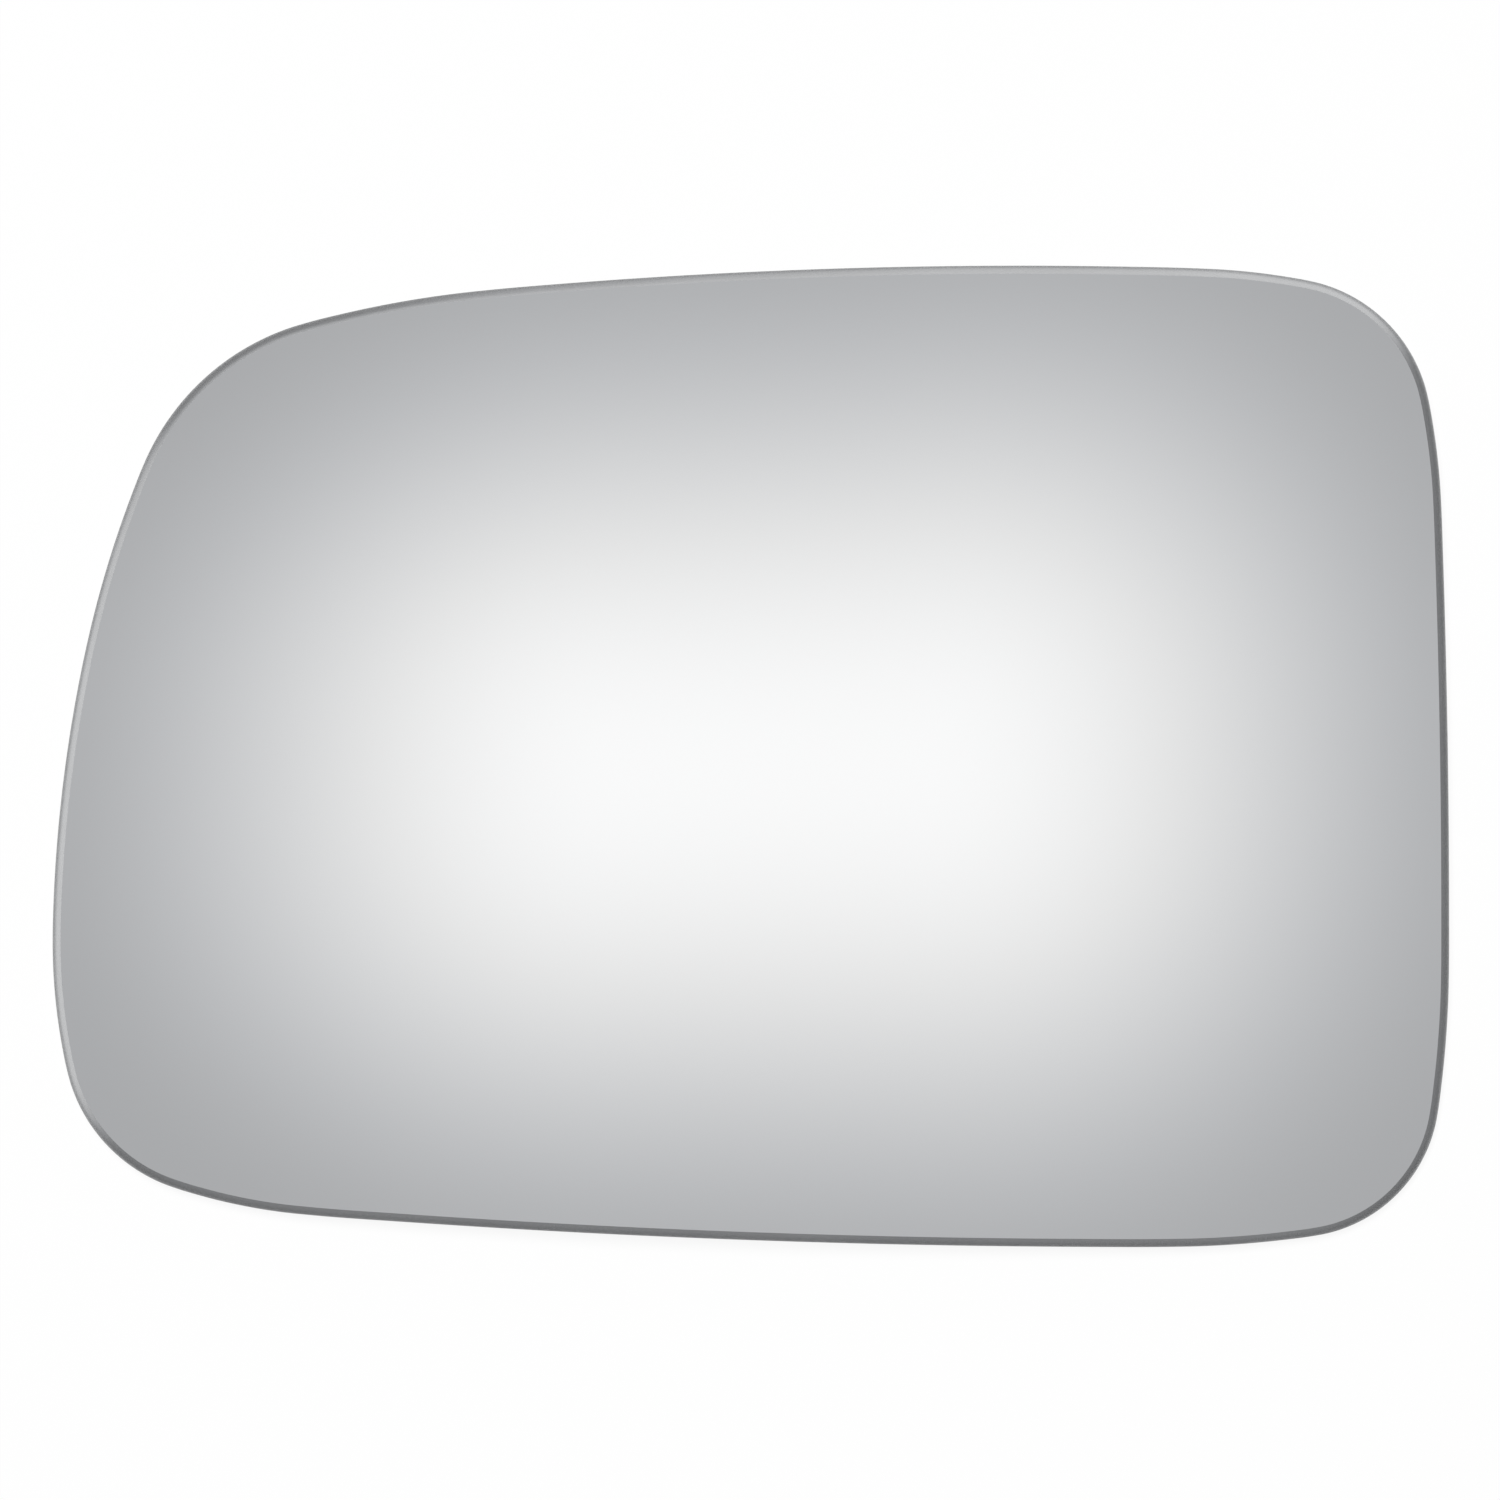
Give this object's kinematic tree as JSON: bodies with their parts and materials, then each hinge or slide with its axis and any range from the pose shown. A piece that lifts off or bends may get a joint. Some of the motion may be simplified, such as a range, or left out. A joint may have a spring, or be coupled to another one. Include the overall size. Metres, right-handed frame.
{
  "type": "car door mirror glass",
  "caption": "Convex silvered glass pane for a left-hand car door mirror, with a ground rim and rounded corners.",
  "frame": {"origin": "middle of the pane's footprint, at the level that its rim rests on", "axes": "+Z out of the convex face, +X along the pane towards its inboard end, the right side as the driver sees it, +Y to its top side"},
  "size_m": [0.178, 0.125, 0.0056],
  "materials": {
    "silvered_glass": "polished silvered face, satin ground rim, painted back"
  },
  "bodies": {
    "root": {"mirror_glass": "silvered_glass"}
  },
  "joints": []
}
